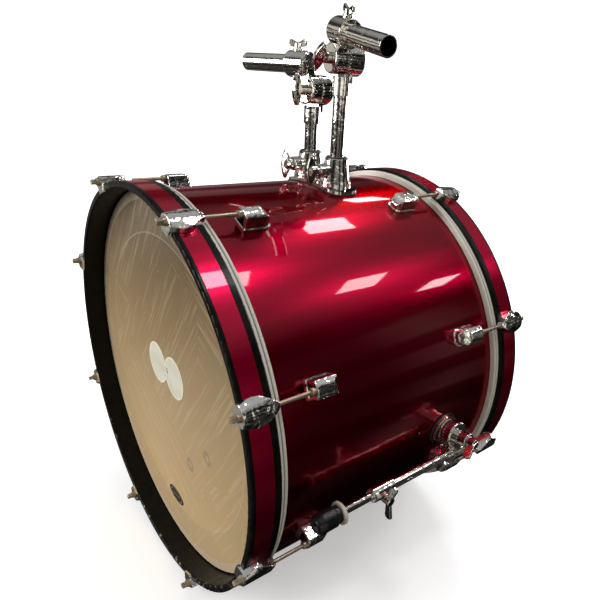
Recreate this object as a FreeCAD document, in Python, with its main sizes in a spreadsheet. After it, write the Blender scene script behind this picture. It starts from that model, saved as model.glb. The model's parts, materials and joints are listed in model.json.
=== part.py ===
"""Bass drum, 22 x 16 inches, with a double tom holder and two folding spurs.

Frame: the origin is on the floor under the middle of the drum. +Z is up, the drum's axis lies along Y
with the batter (played) head at -Y, and the tom holder stands on the crown of the shell. All sizes are
in millimetres. The driving dimensions are in the spreadsheet "Sizes", and every sketch and feature
that uses one is bound to its cell.

Three helper frames are used:
  station  X tangential, Y radially out of the drum, Z along the drum's axis away from its middle
  arm      origin at a tom arm's tilt hinge, X outwards along the arm, Y to the rear, Z up
  spur     origin at a spur's swivel, X outwards along the swivel's axis, Y to the rear
"""
import FreeCAD, Part
import os
import Sketcher
from FreeCAD import Placement, Rotation, Vector

DIMENSIONS = {
    # shell and hoops
    "shell_radius": 279.4, "shell_half_length": 203.2, "shell_wall": 8.0, "bearing_bevel": 6.0,
    "hoop_radius": 292.0, "hoop_wall": 9.5, "hoop_front": 234.75, "hoop_width": 39.5,
    "inlay_front": 229.2, "inlay_width": 24.0, "inlay_depth": 0.8,
    # heads
    "film": 0.3, "flesh_hoop_radius": 288.2, "flesh_hoop_base": 185.8, "flesh_hoop_height": 9.2,
    "muffle_inner": 222.0, "muffle_outer": 270.0, "patch_radius": 32.0, "patch_spacing": 58.0,
    "badge_length": 52.0, "badge_width": 23.0,
    # tension hardware, in the station frame
    "rod_line": 297.0, "rod_radius": 2.6, "claw_width": 26.0, "claw_top": 304.5, "claw_tail": 193.0,
    "lug_front": 145.5, "lug_back": 106.0, "lug_top": 303.0, "lug_screw_near": 113.0,
    "lug_screw_far": 136.0,
    # tom holder
    "holder_y": 56.0, "post_spacing": 66.0, "plate_length": 128.0, "plate_width": 52.0,
    "plate_inner": 281.0, "plate_outer": 285.0, "receiver_top": 321.5, "boss_end": 34.0,
    "post_radius": 10.0, "post_length": 200.0, "right_hinge_height": 453.0, "left_hinge_height": 409.0,
    "right_yaw": 8.0, "left_yaw": 15.0, "right_tilt": 9.0, "left_tilt": 1.0,
    "arm_drop": 34.0, "arm_offset": 13.0, "arm_radius": 12.7, "arm_length": 118.0,
    # spurs
    "spur_x": 299.5, "spur_y": 90.0, "spur_z": -24.0, "spur_cant": 9.0, "leg_stand_off": 8.8,
    "leg_drop": 21.1, "leg_radius": 6.4, "spur_rod_radius": 4.75, "swivel_radius": 20.0,
}
CLEAR = 0.05
SECTORS = 8
HALF_SECTOR = 22.5

doc = FreeCAD.newDocument("BassDrum")
sheet = doc.addObject("Spreadsheet::Sheet", "Sizes")
for row, (alias, number) in enumerate(DIMENSIONS.items(), start=1):
    sheet.set("A%d" % row, alias.replace("_", " "))
    sheet.set("B%d" % row, "%g" % number)
    sheet.setAlias("B%d" % row, alias)
doc.recompute()


class Size:
    """A length that carries its number and the spreadsheet formula that gives it."""

    def __init__(self, value, formula):
        self.value = value
        self.formula = formula

    def __add__(self, other):
        other = as_size(other)
        return Size(self.value + other.value, "(%s + %s)" % (self.formula, other.formula))

    def __sub__(self, other):
        other = as_size(other)
        return Size(self.value - other.value, "(%s - %s)" % (self.formula, other.formula))

    def __rsub__(self, other):
        return as_size(other) - self

    def __mul__(self, factor):
        return Size(self.value * factor, "(%s * %g)" % (self.formula, factor))

    def __neg__(self):
        return self * -1

    __radd__ = __add__
    __rmul__ = __mul__


def as_size(number):
    return number if isinstance(number, Size) else Size(float(number), "%g" % number)


def cell(alias):
    return Size(DIMENSIONS[alias], "Sizes." + alias)


# ---------------------------------------------------------------- drawing helpers
nodes = {}


def keep(label, obj):
    """Marks an object as one of the part's own pieces."""
    obj.Label = label
    nodes[label] = obj
    return obj


def new_body(name):
    body = doc.addObject("PartDesign::Body", name)
    body.Label = name
    return body


def new_sketch(body, plane, offset):
    sketch = body.newObject("Sketcher::SketchObject", "Outline")
    role = next(f for f in body.Origin.OriginFeatures if f.Role == plane)
    sketch.AttachmentSupport = [(role, "")]
    sketch.MapMode = "FlatFace"
    offset = as_size(offset)
    sketch.AttachmentOffset = Placement(Vector(0, 0, offset.value), Rotation())
    sketch.setExpression("AttachmentOffset.Base.z", offset.formula)
    return sketch


def bind(sketch, constraint, formula):
    number = sketch.addConstraint(constraint)
    sketch.setExpression(".Constraints[%d]" % number, formula)


def draw_outline(sketch, corners):
    """Closed outline. A corner is (x, y), or (x, y, radius) when an arc leads to it.

    The arc bulges to the left of the way it is drawn, or to the right when its radius is negative.
    """
    points = [(as_size(c[0]), as_size(c[1])) for c in corners]
    flat = [Vector(x.value, y.value, 0) for x, y in points]
    edges = []
    for i, start in enumerate(flat):
        after = (i + 1) % len(flat)
        end = flat[after]
        if len(corners[after]) == 3:
            radius = corners[after][2]
            chord = end - start
            rise = abs(radius) - (radius ** 2 - (chord.Length / 2) ** 2) ** 0.5
            bulge = Vector(-chord.y, chord.x, 0).normalize() * (rise if radius > 0 else -rise)
            geo = sketch.addGeometry(Part.Arc(start, start + chord * 0.5 + bulge, end), False)
            sketch.addConstraint(Sketcher.Constraint("Radius", geo, abs(radius)))
            forward = sketch.getPoint(geo, 1).distanceToPoint(start) < 1e-6
        else:
            geo = sketch.addGeometry(Part.LineSegment(start, end), False)
            forward = True
        edges.append((geo, 1, 2) if forward else (geo, 2, 1))
    for i, edge in enumerate(edges):
        after = edges[(i + 1) % len(edges)]
        sketch.addConstraint(Sketcher.Constraint("Coincident", edge[0], edge[2], after[0], after[1]))
    for (x, y), edge in zip(points, edges):
        bind(sketch, Sketcher.Constraint("DistanceX", -1, 1, edge[0], edge[1], x.value), x.formula)
        bind(sketch, Sketcher.Constraint("DistanceY", -1, 1, edge[0], edge[1], y.value), y.formula)


def draw_circle(sketch, x, y, radius):
    x, y, radius = as_size(x), as_size(y), as_size(radius)
    geo = sketch.addGeometry(Part.Circle(Vector(x.value, y.value, 0), Vector(0, 0, 1), radius.value), False)
    bind(sketch, Sketcher.Constraint("Radius", geo, radius.value), radius.formula)
    bind(sketch, Sketcher.Constraint("DistanceX", -1, 1, geo, 3, x.value), x.formula)
    bind(sketch, Sketcher.Constraint("DistanceY", -1, 1, geo, 3, y.value), y.formula)


def draw(sketch, shapes):
    for shape in shapes:
        if shape[0] == "circle":
            draw_circle(sketch, *shape[1:])
        else:
            draw_outline(sketch, shape)


def pad(body, plane, shapes, low, high):
    """Adds material between two levels along X, Y or Z. The XZ plane's own normal is -Y."""
    low, high = as_size(low), as_size(high)
    sketch = new_sketch(body, plane, -high if plane == "XZ_Plane" else low)
    draw(sketch, shapes)
    feature = body.newObject("PartDesign::Pad", "Pad")
    feature.Profile = sketch
    feature.Length = high.value - low.value
    feature.setExpression("Length", (high - low).formula)
    return feature


def pocket(body, plane, shapes, low, high):
    """Cuts between two levels along X, Y or Z, and raises an error when nothing is cut."""
    low, high = as_size(low), as_size(high)
    doc.recompute()
    before = body.Shape.Volume
    sketch = new_sketch(body, plane, -low if plane == "XZ_Plane" else high)
    draw(sketch, shapes)
    feature = body.newObject("PartDesign::Pocket", "Pocket")
    feature.Profile = sketch
    feature.Length = high.value - low.value
    feature.setExpression("Length", (high - low).formula)
    doc.recompute()
    if not body.Shape.Volume < before - 0.01:
        raise RuntimeError("a pocket in %s cuts nothing" % body.Label)
    return feature


def turn(body, corners):
    """Revolves an outline of (radius, height) corners about the body's Z axis."""
    sketch = new_sketch(body, "XZ_Plane", 0)
    draw_outline(sketch, corners)
    feature = body.newObject("PartDesign::Revolution", "Revolution")
    feature.Profile = sketch
    feature.ReferenceAxis = (sketch, ["V_Axis"])
    feature.Angle = 360
    return feature


def soften(body, radius, chosen):
    """Fillets those edges of the body's last feature for which chosen(edge) is true."""
    doc.recompute()
    base = body.Tip
    names = ["Edge%d" % (i + 1) for i, edge in enumerate(base.Shape.Edges) if chosen(edge)]
    fillet = body.newObject("PartDesign::Fillet", "Fillet")
    fillet.Base = (base, names)
    fillet.Radius = radius
    doc.recompute()
    return fillet


def turned(name, corners, place=None):
    body = new_body(name)
    turn(body, corners)
    body.Placement = place or Placement()
    return body


def ring(name, inner, outer, low, high, place=None):
    return turned(name, [(inner, low), (outer, low), (outer, high), (inner, high)], place)


def middle(edge):
    return edge.BoundBox.Center


def bow(half_span, rise):
    """Radius of an arc over a chord of twice the half span."""
    return (half_span ** 2 + rise ** 2) / (2 * rise)


def group(label, shapes):
    """One node that holds several separate, identical solids."""
    feature = doc.addObject("Part::Feature", label)
    feature.Shape = Part.makeCompound(shapes)
    return keep(label, feature)


def placed(obj, place):
    copy = obj.Shape.copy()
    copy.Placement = place.multiply(copy.Placement)
    return copy


# ---------------------------------------------------------------- frames
def shift(x, y, z):
    return Placement(Vector(x, y, z), Rotation())


def spin(axis, degrees):
    return Placement(Vector(), Rotation(axis, degrees))


X_AXIS, Y_AXIS, Z_AXIS = Vector(1, 0, 0), Vector(0, 1, 0), Vector(0, 0, 1)
DRUM = shift(0, 0, DIMENSIONS["hoop_radius"])


def station(angle, end):
    """Frame at an angle from the crown towards +X. end is 0 for the batter side, 180 for the other."""
    return DRUM * spin(Y_AXIS, angle) * spin(Z_AXIS, end) * spin(X_AXIS, 90)


ENDS = {"batter": 0, "resonant": 180}
STATIONS = [station(HALF_SECTOR + 360 / SECTORS * i, end) for end in ENDS.values() for i in range(SECTORS)]

# ---------------------------------------------------------------- shell
outer = cell("shell_radius")
inner = outer - cell("shell_wall")
half = cell("shell_half_length")
bevel = cell("bearing_bevel")
tube = turned("shell_tube", [
    (inner, bevel - half), (inner + bevel, -half), (outer - 1, -half), (outer, 1 - half),
    (outer, half - 1), (outer - 1, half), (inner + bevel, half), (inner, half - bevel)], station(0, 0))


def hole_tool(radius, start, length, place):
    tool = Part.makeCylinder(radius, length, Vector(0, 0, start), Z_AXIS)
    tool.Placement = place.multiply(tool.Placement)
    return tool


RADIAL = spin(X_AXIS, -90)
SCREW_ROWS = [DIMENSIONS["lug_screw_near"], DIMENSIONS["lug_screw_far"]]
SCREW_PLACES = [s * shift(0, 0, w) * RADIAL for s in STATIONS for w in SCREW_ROWS]
HOLDER = DRUM * shift(0, DIMENSIONS["holder_y"], 0)
POST_X = {1: DIMENSIONS["post_spacing"] / 2, -1: -DIMENSIONS["post_spacing"] / 2}
SIDES = {1: "right", -1: "left"}


def on_crown(x, y):
    """Radial frame on the shell at the holder plate's screw, at arc distance x from the crown."""
    angle = x / DIMENSIONS["shell_radius"] * 57.2958
    return DRUM * spin(Y_AXIS, angle) * shift(0, DIMENSIONS["holder_y"] + y, 0)


PLATE_SCREWS = [on_crown(x, y) for x in (-57, 57) for y in (-18, 18)]
SPUR_PLATE = {side: DRUM * spin(Y_AXIS, side * 95.4) for side in SIDES}
SPUR_SCREWS = {side: [SPUR_PLATE[side] * spin(Y_AXIS, tilt) * shift(0, DIMENSIONS["spur_y"] + y, 0)
                      for tilt in (-2.6, 2.6) for y in (-12.5, 12.5)] for side in SIDES}
BRACKET_SCREWS = PLATE_SCREWS + SPUR_SCREWS[1] + SPUR_SCREWS[-1]
VENT = DRUM * spin(Y_AXIS, -90)

tools = [hole_tool(2.4, 262, 25, place) for place in SCREW_PLACES + BRACKET_SCREWS]
tools += [hole_tool(12.0, 230, 70, HOLDER * shift(x, 0, 0)) for x in POST_X.values()]
tools.append(hole_tool(6.0, 262, 25, VENT))
drilling = doc.addObject("Part::Feature", "shell_drilling")
drilling.Shape = Part.makeCompound(tools)
shell = doc.addObject("Part::Cut", "shell")
shell.Base = tube
shell.Tool = drilling
keep("shell", shell)

keep("air_vent", turned("air_vent", [
    (3.5, 269.3), (8.5, 269.3), (8.5, 270.4), (5.9, 271.3), (5.9, 279.6), (9.5, 279.6), (9.0, 281.4),
    (3.5, 281.4)], VENT))

# ---------------------------------------------------------------- hoops and heads
hoop_outer = cell("hoop_radius")
hoop_inner = hoop_outer - cell("hoop_wall")
front = cell("hoop_front")
back = front - cell("hoop_width")
inlay_floor = hoop_outer - cell("inlay_depth")
inlay_front = cell("inlay_front")
inlay_back = inlay_front - cell("inlay_width")
flesh_base = cell("flesh_hoop_base")
flesh_top = flesh_base + cell("flesh_hoop_height")
flesh_outer = cell("flesh_hoop_radius")
film = cell("film")
skin = half + CLEAR


def hoop(end):
    body = turned(end + "_hoop", [
        (hoop_inner, back), (hoop_outer, back), (hoop_outer, inlay_back), (inlay_floor, inlay_back),
        (inlay_floor, inlay_front), (hoop_outer, inlay_front), (hoop_outer, front), (hoop_inner, front)],
        station(0, ENDS[end]))
    doc.recompute()
    level = DIMENSIONS["hoop_front"]
    soften(body, 2.2, lambda edge: abs(middle(edge).z - level) < 0.01)
    rear = level - DIMENSIONS["hoop_width"]
    soften(body, 2.6, lambda edge: abs(middle(edge).z - rear) < 0.01 and edge.BoundBox.XMax > 290)
    return keep(end + "_hoop", body)


def head(end):
    place = station(0, ENDS[end])
    collar = outer + 0.2
    keep(end + "_head", turned(end + "_head", [
        (0, skin), (collar, skin), (collar, flesh_base + 2), (collar + film, flesh_base + 2),
        (collar + film, skin + film), (0, skin + film)], place))
    keep(end + "_flesh_hoop", turned(end + "_flesh_hoop", [
        (collar + film + CLEAR, flesh_base), (flesh_outer - 1.2, flesh_base), (flesh_outer, flesh_base + 1.2),
        (flesh_outer, flesh_base + 3.2), (flesh_outer - 1, flesh_base + 4.2),
        (flesh_outer - 1, flesh_base + 5), (flesh_outer, flesh_base + 6), (flesh_outer, flesh_top),
        (collar + film + CLEAR, flesh_top)], place))


for end in ENDS:
    hoop(end)
    head(end)
    keep(end + "_hoop_inlay", ring(end + "_hoop_inlay", inlay_floor, hoop_outer, inlay_back + CLEAR,
                                   inlay_front - CLEAR, station(0, ENDS[end])))

BATTER = station(0, 0)
keep("muffle_ring", ring("muffle_ring", cell("muffle_inner"), cell("muffle_outer"),
                         half - film, half, BATTER))

patch = new_body("kick_patch")
for sign in (-1, 1):
    pad(patch, "XY_Plane", [("circle", cell("patch_spacing") * (sign / 2), 0, cell("patch_radius"))],
        skin + film + CLEAR, skin + film + CLEAR + 0.4)
patch.Placement = BATTER * shift(-9.5, 19.5, 0)
keep("kick_patch", patch)

oval = doc.addObject("Part::Ellipse", "badge_outline")
oval.setExpression("MajorRadius", "Sizes.badge_length / 2")
oval.setExpression("MinorRadius", "Sizes.badge_width / 2")
badge = doc.addObject("Part::Extrusion", "head_badge")
badge.Base = oval
badge.DirMode = "Custom"
badge.Dir = Z_AXIS
badge.LengthFwd = 0.3
badge.Solid = True
badge.Placement = BATTER * shift(-1, -208.5, (skin + film + CLEAR).value)
keep("head_badge", badge)

# ---------------------------------------------------------------- tension hardware
line = cell("rod_line")
rod_radius = cell("rod_radius")
claw_side = cell("claw_width") * 0.5
claw_top = cell("claw_top")
claw_tail = cell("claw_tail")
claw_face = front + 3.4


def claw():
    """Die-cast claw: a shield-shaped shoe on the hoop and a tab over the hoop's front face."""
    body = new_body("claw_master")
    pad(body, "XZ_Plane", [[
        (0.5 - claw_side, claw_face), (claw_side - 0.5, claw_face), (claw_side, claw_face - 10),
        (4.5, claw_tail + 2.5, 70), (-4.5, claw_tail + 2.5, 5.2), (-claw_side, claw_face - 10, 70)]],
        hoop_outer + 0.2, claw_top)
    over, shoulder = claw_top + 2, claw_top - 7.5
    pocket(body, "XY_Plane", [[
        (-14, shoulder), (14, shoulder, bow(14, 7.5)), (14, over), (-14, over)]],
        claw_tail - 1, claw_face + 1)
    pocket(body, "YZ_Plane", [[
        (claw_top - 3.4, claw_tail - 1), (claw_top + 0.1, claw_tail + 31, -60), (over, claw_tail + 31),
        (over, claw_tail - 1)]], -15, 15)
    soften(body, 1.1, lambda edge: edge.Length > 8 and middle(edge).y > 293)
    pocket(body, "XZ_Plane", [[
        (-7.5, claw_tail + 12), (7.5, claw_tail + 12), (7.5, front - 2), (-7.5, front - 2)]],
        hoop_outer, claw_top - 4)
    pad(body, "XY_Plane", [[
        (-8.5, hoop_inner - 1), (8.5, hoop_inner - 1), (claw_side - 1.5, hoop_outer + 1),
        (1.5 - claw_side, hoop_outer + 1)]], front + 0.3, claw_face)
    pocket(body, "XY_Plane", [("circle", 0, line, rod_radius + 0.4)], claw_tail - 1, claw_face + 1)
    return body


def tension_rod():
    """Key rod, with a square head for a drum key."""
    body = new_body("rod_master")
    seat = claw_face + 1.6
    turn(body, [(0, 118), (rod_radius - 0.5, 118), (rod_radius, 118.5), (rod_radius, seat), (4.9, seat),
                (4.9, seat + 2.2), (0, seat + 2.2)])
    pad(body, "XY_Plane", [[(-3, -3), (3, -3), (3, 3), (-3, 3)]], seat + 2.2, seat + 9)
    tip = body.Tip
    doc.recompute()
    level = tip.Shape.BoundBox.ZMax
    soften(body, 0.9, lambda edge: abs(middle(edge).z - level) < 0.01)
    return body


lug_front, lug_back, lug_top = cell("lug_front"), cell("lug_back"), cell("lug_top")


def lug():
    """Hollow cast lug with a domed back, open towards the hoop, with a bore that seats the swivel nut."""
    body = new_body("lug_master")
    foot = outer - 3
    pad(body, "XZ_Plane", [[
        (-11.4, lug_front), (11.4, lug_front), (11.4, lug_back + 11), (5, lug_back + 1.6, 11),
        (-5, lug_back + 1.6), (-11.4, lug_back + 11, 11)]], foot, lug_top)
    over, shoulder = lug_top + 2, lug_top - 5.5
    pocket(body, "XY_Plane", [[
        (-12, shoulder), (12, shoulder, bow(12, 5.5)), (12, over), (-12, over)]],
        lug_back - 1, lug_front + 1)
    pocket(body, "YZ_Plane", [[
        (outer + 4, lug_back), (lug_top + 0.1, lug_back + 17, -26), (over, lug_back + 17),
        (over, lug_back)]], -20, 20)
    ridge = DIMENSIONS["shell_radius"] + 2.5
    soften(body, 1.6, lambda edge: edge.Length > 6 and middle(edge).y > ridge)
    pad(body, "XZ_Plane", [[
        (-13, lug_front + 0.6), (13, lug_front + 0.6), (13, lug_back + 10), (6, lug_back, 11),
        (-6, lug_back), (-13, lug_back + 10, 11)]], foot, outer + 2.2)
    pocket(body, "XY_Plane", [("circle", 0, 0, outer + CLEAR)], lug_back - 1, lug_front + 1)
    pocket(body, "XY_Plane", [[
        (-8.6, outer + 4), (8.6, outer + 4), (5.4, line + 1.5), (-5.4, line + 1.5)]],
        lug_front - 20, lug_front + 1)
    pocket(body, "XY_Plane", [("circle", 0, line, 4.25)], 118, lug_front + 1)
    for row in ("lug_screw_near", "lug_screw_far"):
        pocket(body, "XZ_Plane", [("circle", 0, cell(row), 2.05)], outer - 4, outer + 3.6)
    return body


claw_master, rod_master, lug_master = claw(), tension_rod(), lug()
washer_master = ring("washer_master", rod_radius + 0.1, 5.6, claw_face + CLEAR, claw_face + 1.5)
nut_master = turned("nut_master", [
    (rod_radius + CLEAR, 120), (4.2, 120), (4.2, lug_front + 1), (4.9, lug_front + 1), (4.9, lug_front + 5),
    (4.3, lug_front + 6), (rod_radius + CLEAR, lug_front + 6)])
screw_master = turned("screw_master", [
    (0, 265.8), (3.2, 265.8), (4, 266.6), (4, 269.3), (5.6, 269.3), (5.6, 271.2), (2, 271.2), (2, 282.6),
    (0, 282.6)])
doc.recompute()
ON_LINE = shift(0, DIMENSIONS["rod_line"], 0)
group("claw_hooks", [placed(claw_master, s) for s in STATIONS])
group("lugs", [placed(lug_master, s) for s in STATIONS])
group("tension_rods", [placed(rod_master, s * ON_LINE) for s in STATIONS])
group("rod_washers", [placed(washer_master, s * ON_LINE) for s in STATIONS])
group("swivel_nuts", [placed(nut_master, s * ON_LINE) for s in STATIONS])
group("lug_screws", [placed(screw_master, place) for place in SCREW_PLACES])
group("bracket_screws", [placed(screw_master, place) for place in BRACKET_SCREWS])

# ---------------------------------------------------------------- plates on the shell
plate_in, plate_out = cell("plate_inner"), cell("plate_outer")


def wrapped(name, outline, y_span, radii, place):
    """Plate bent to the shell, lying on the crown of its frame between two radii."""
    body = new_body(name)
    pad(body, "XY_Plane", [outline], 240, 300)
    low, high = radii
    for circles in ([("circle", 0, 0, low)], [("circle", 0, 0, high), ("circle", 0, 0, 400)]):
        pocket(body, "XZ_Plane", circles, *y_span)
    body.Placement = place
    return body


def cut_away(label, base, tools):
    """The base with a set of plain tools cut out of it."""
    tool = doc.addObject("Part::Feature", label + "_tools")
    tool.Shape = Part.makeCompound(tools)
    cut = doc.addObject("Part::Cut", label)
    cut.Base = base
    cut.Tool = tool
    return keep(label, cut)


holder_y = cell("holder_y")
plate_x = cell("plate_length") * 0.5
plate_y = cell("plate_width") * 0.5
near_post = cell("post_spacing") * 0.5
post_radius = cell("post_radius")


def holder_plate(label, grow, radii, screw_radius):
    half_x, half_y, clip = plate_x + grow, plate_y + grow, 14
    outline = [
        (-half_x, holder_y - half_y + clip), (clip - half_x, holder_y - half_y, -18),
        (half_x - clip, holder_y - half_y), (half_x, holder_y - half_y + clip, -18),
        (half_x, holder_y + half_y - clip), (half_x - clip, holder_y + half_y, -18),
        (clip - half_x, holder_y + half_y), (-half_x, holder_y + half_y - clip, -18)]
    body = wrapped(label + "_blank", outline, (holder_y - half_y - 1, holder_y + half_y + 1), radii, DRUM)
    for sign in (-1, 1):
        pocket(body, "XY_Plane", [("circle", near_post * sign, holder_y, post_radius + 1)], 250, 310)
    return cut_away(label, body, [hole_tool(screw_radius, 275, 8.6, place) for place in PLATE_SCREWS])


GASKET = (outer + CLEAR, plate_in - CLEAR)
holder_plate("tom_holder_gasket", 0.8, GASKET, 2.4)
holder_plate("tom_holder_plate", 0, (plate_in, plate_out), 2.05)


# ---------------------------------------------------------------- wing bolts
def wing_bolt(label, outline, thickness, grooves, shank, hub, place):
    """Bolt along -Z from the origin, with a hub above it and wings drawn in the XZ plane.

    shank and hub are (radius, length); grooves lists the heights of the flutes across both wings.
    """
    body = new_body(label)
    pad(body, "XZ_Plane", [outline], -thickness / 2, thickness / 2)
    soften(body, thickness * 0.24, lambda edge: True)
    for height, reach in grooves:
        for low in (-thickness / 2, thickness / 2 - 0.8):
            pocket(body, "XZ_Plane", [[
                (sign * 8, height - 0.6), (sign * reach, height - 0.6), (sign * reach, height + 0.6),
                (sign * 8, height + 0.6)] for sign in (-1, 1)], low, low + 0.8)
    turn(body, [(0, -shank[1]), (shank[0], -shank[1]), (shank[0], 0), (hub[0], 0),
                (hub[0], hub[1] - 1), (hub[0] - 1, hub[1]), (0, hub[1])])
    body.Placement = place
    return keep(label, body)


def crescent(half_span, height, rise):
    """Two pointed paddles under one outer arc, broad at the hub."""
    tip = height + 2.6
    return [(-5, 1), (5, 1), (half_span, height), (half_span, tip),
            (-half_span, tip, -bow(half_span, rise)), (-half_span, height)]


def oval(half_span, height, rise):
    """One flat oval paddle across the axis."""
    return [(-half_span, height - 2.5, bow(half_span, rise)), (-half_span, height + 2.5, 2.6),
            (half_span, height + 2.5, bow(half_span, rise)), (half_span, height - 2.5, 2.6)]


def butterfly(half_span, root, tip, rise):
    """Two paddles that spread from the hub and rise towards their tips."""
    end = -0.56 * tip
    return [(-4, 1), (4, 1), (half_span, rise - tip / 2), (half_span, rise + tip / 2, end), (4, root),
            (-4, root), (-half_span, rise + tip / 2), (-half_span, rise - tip / 2, end)]


# ---------------------------------------------------------------- tom arms
receiver_top = cell("receiver_top")
bolt_height = receiver_top - 18
boss_end = cell("boss_end")
drop, offset_y = cell("arm_drop"), cell("arm_offset")
arm_radius = cell("arm_radius")
grip_radius = arm_radius - 0.6
STEP = 37
TOWARDS_BATTER = spin(X_AXIS, 90)
UPRIGHT = spin(Z_AXIS, 90)
WING_LEAN = {1: 60, -1: 90}


def across(side, low, high):
    """The span low..high on the right side, and its mirror image on the left."""
    return (low, high) if side > 0 else (-as_size(high), -as_size(low))


def box(x0, x1, y0, y1):
    return [(x0, y0), (x1, y0), (x1, y1), (x0, y1)]


def notch(body, plane, axis_role, radii, low, high):
    """A ring of teeth cut in the edge of a disc, about the axis at right angles to the plane."""
    pocket(body, plane, [box(-0.9, 0.9, *radii)], low, high)
    first = body.Tip
    teeth = body.newObject("PartDesign::PolarPattern", "Teeth")
    teeth.Originals = [first]
    axis = next(f for f in body.Origin.OriginFeatures if f.Role == axis_role)
    teeth.Axis = (axis, [""])
    teeth.Angle = 360
    teeth.Occurrences = 28
    body.Tip = teeth
    doc.recompute()


def receiver(side):
    """Tapered split socket for a tom post, with a boss for its wing bolt."""
    body = new_body(SIDES[side] + "_receiver")
    turn(body, [
        (13 + CLEAR, 274), (24, 274), (24, 287), (23.4, 289), (22.2, 289.5), (17.4, receiver_top - 3),
        (17.4, receiver_top - 1), (16.6, receiver_top), (13 + CLEAR, receiver_top)])
    pad(body, "XZ_Plane", [("circle", 0, bolt_height, 10.5)], -boss_end, -14.5)
    soften(body, 1.5, lambda edge: abs(middle(edge).y + boss_end.value) < 0.01)
    pocket(body, "XZ_Plane", [("circle", 0, bolt_height, 3.2 + CLEAR)], -boss_end - 1, -12)
    pocket(body, "XY_Plane", [box(12, 25, -1, 1)], 292, receiver_top + 1)
    pocket(body, "XZ_Plane", [("circle", near_post * -side, 0, plate_out + CLEAR)], -40, 40)
    body.Placement = HOLDER * shift(POST_X[side], 0, 0)
    return body


receivers = [receiver(side) for side in SIDES]
doc.recompute()
group("tom_receivers", [body.Shape.copy() for body in receivers])


def insert(side, place):
    """Split nylon bush between the socket and the post."""
    label = SIDES[side] + "_insert"
    body = turned(label, [
        (post_radius + CLEAR, 285.4), (13, 285.4), (13, receiver_top + 0.4), (15, receiver_top + 0.4),
        (15, receiver_top + 1.6), (post_radius + CLEAR, receiver_top + 1.6)], place)
    pocket(body, "XY_Plane", [box(9, 16, -0.8, 0.8)], 285, receiver_top + 2)
    keep(label, body)


def lower_tilter(side, place):
    """Neck over the post, and the fixed toothed half of the tilt hinge."""
    body = new_body(SIDES[side] + "_lower_tilter")
    turn(body, [(0, -47), (11.6, -47), (12.3, -46.3), (12.3, -22.6), (11.6, -22), (0, -22)])
    pad(body, "XZ_Plane", [("circle", 0, 0, 21)], 0.25, 25)
    soften(body, 2.2, lambda edge: abs(middle(edge).y - 25) < 0.01)
    pad(body, "XY_Plane", [box(-11, 11, 0.25, 11)], -30, -12)
    pocket(body, "XY_Plane", [("circle", 0, 0, post_radius + CLEAR)], -48, -24 + CLEAR)
    notch(body, "XZ_Plane", "Y_Axis", (19.3, 22), 0.25, 1.9)
    pocket(body, "XZ_Plane", [("circle", 0, 0, 4 + CLEAR)], 0, 20)
    body.Placement = place
    keep(SIDES[side] + "_lower_tilter", body)


def upper_tilter(side, place):
    """Moving half of the tilt hinge, with the split ring clamp that holds the arm tube."""
    body = new_body(SIDES[side] + "_upper_tilter")
    pad(body, "YZ_Plane", [("circle", -offset_y, drop, 18)], *across(side, -4, 34))
    soften(body, 1.2, lambda edge: abs(abs(middle(edge).x) - 34) < 0.01)
    soften(body, 5.5, lambda edge: abs(abs(middle(edge).x) - 4) < 0.01)
    pad(body, "XZ_Plane", [("circle", 0, 0, 19.5)], -21, -0.25)
    soften(body, 2.5, lambda edge: abs(middle(edge).y + 21) < 0.01 and edge.Length > 60)
    pad(body, "XZ_Plane", [[(side * x, z) for x, z in ((-10, 10), (9, 4), (27, 22), (27, 34), (-2, 34))]],
        -20, -5)
    pad(body, "XY_Plane", [("circle", 20 * side, -offset_y, 7)], drop + 14, drop + 20)
    pocket(body, "YZ_Plane", [("circle", -offset_y, drop, grip_radius + CLEAR)], *across(side, 3, 36))
    pocket(body, "XY_Plane", [("circle", 20 * side, -offset_y, 3.2 + CLEAR)], drop + 10, drop + 21)
    pocket(body, "XZ_Plane", [box(*across(side, 5, 35), drop - 1, drop + 1)], -34, -22)
    notch(body, "XZ_Plane", "Y_Axis", (17.8, 20), -1.9, -0.25)
    pocket(body, "XZ_Plane", [("circle", 0, 0, 4 + CLEAR)], -22, 0)
    body.Placement = place
    keep(SIDES[side] + "_upper_tilter", body)


def arm_tube(side, place):
    """Tube that carries the tom, turned down inside the tilter's clamp."""
    body = new_body(SIDES[side] + "_arm_tube")
    bore = ("circle", -offset_y, drop, 10.9)
    pad(body, "YZ_Plane", [("circle", -offset_y, drop, grip_radius), bore], *across(side, 4, STEP + 1))
    pad(body, "YZ_Plane", [("circle", -offset_y, drop, arm_radius), bore],
        *across(side, STEP, 4 + cell("arm_length")))
    soften(body, 0.5, lambda edge: edge.Length < 90 and abs(middle(edge).x) > 100)
    body.Placement = place
    keep(SIDES[side] + "_arm_tube", body)


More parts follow.
